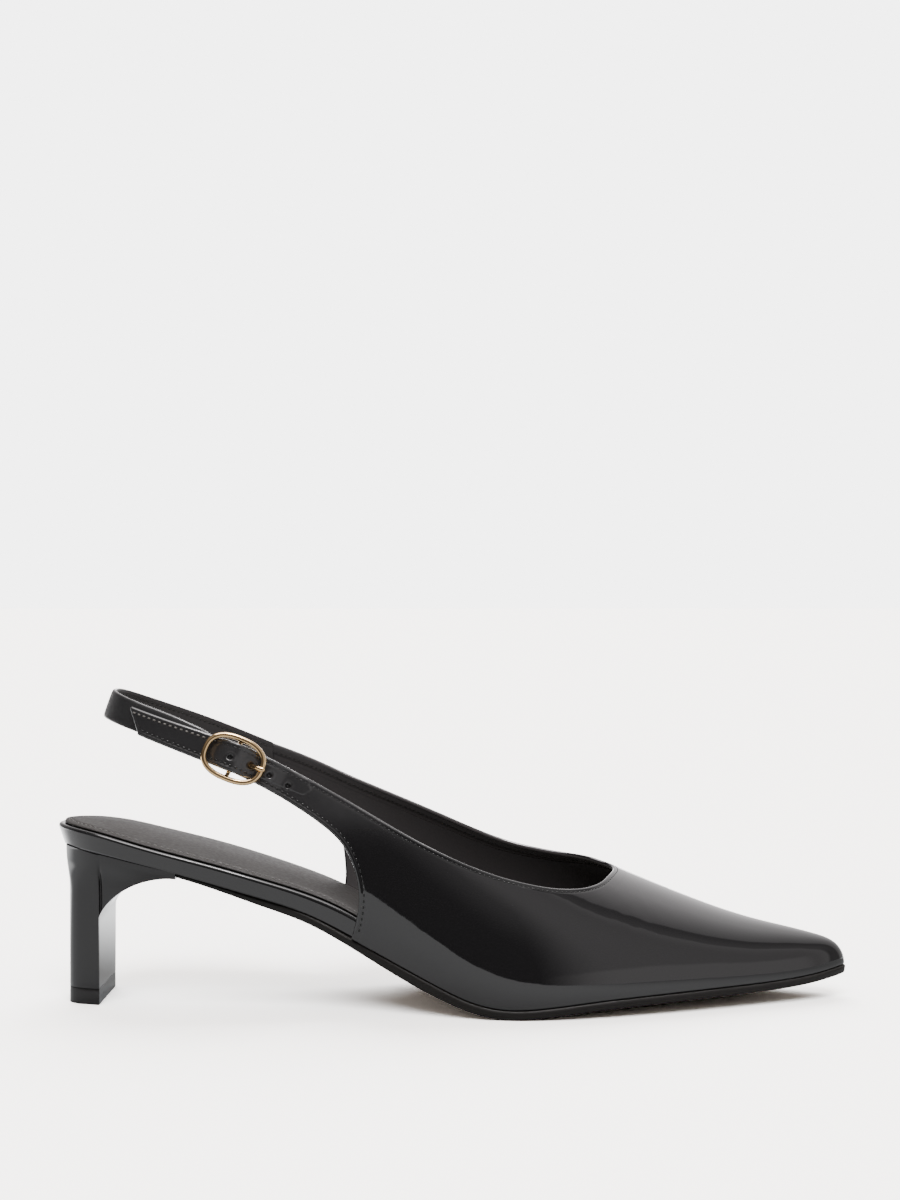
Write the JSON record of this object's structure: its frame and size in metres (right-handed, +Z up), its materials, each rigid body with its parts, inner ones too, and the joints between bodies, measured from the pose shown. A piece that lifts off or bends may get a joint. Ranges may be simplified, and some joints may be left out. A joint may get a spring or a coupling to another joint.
{
  "type": "pointed toe slingback shoe",
  "caption": "Pointed toe slingback pump for the right foot: hollow patent upper, strap with oval buckle round the heel, thin sole and slim block heel.",
  "frame": {"origin": "on the floor, under the middle of the shoe's bounding box", "axes": "+X from heel to toe, +Y to the inner side of the right foot, +Z up"},
  "size_m": [0.2618, 0.0755, 0.1023],
  "materials": {
    "patent_upper": "black patent, high gloss",
    "patent_strap": "black patent, high gloss",
    "patent_cover": "black patent, high gloss",
    "sock": "dark satin",
    "sole": "dark satin edge",
    "heel_cover": "black, high gloss",
    "heel_rubber": "black, satin",
    "frame_metal": "pale gold, polished",
    "prong_metal": "pale gold, polished"
  },
  "bodies": {
    "root": {"upper": "patent_upper", "sling_strap": "patent_strap", "footbed": "patent_cover", "insole": "sock", "outsole": "sole", "heel": "heel_cover", "heel_tip": "heel_rubber", "buckle_frame": "frame_metal", "buckle_prong": "prong_metal"}
  },
  "joints": []
}
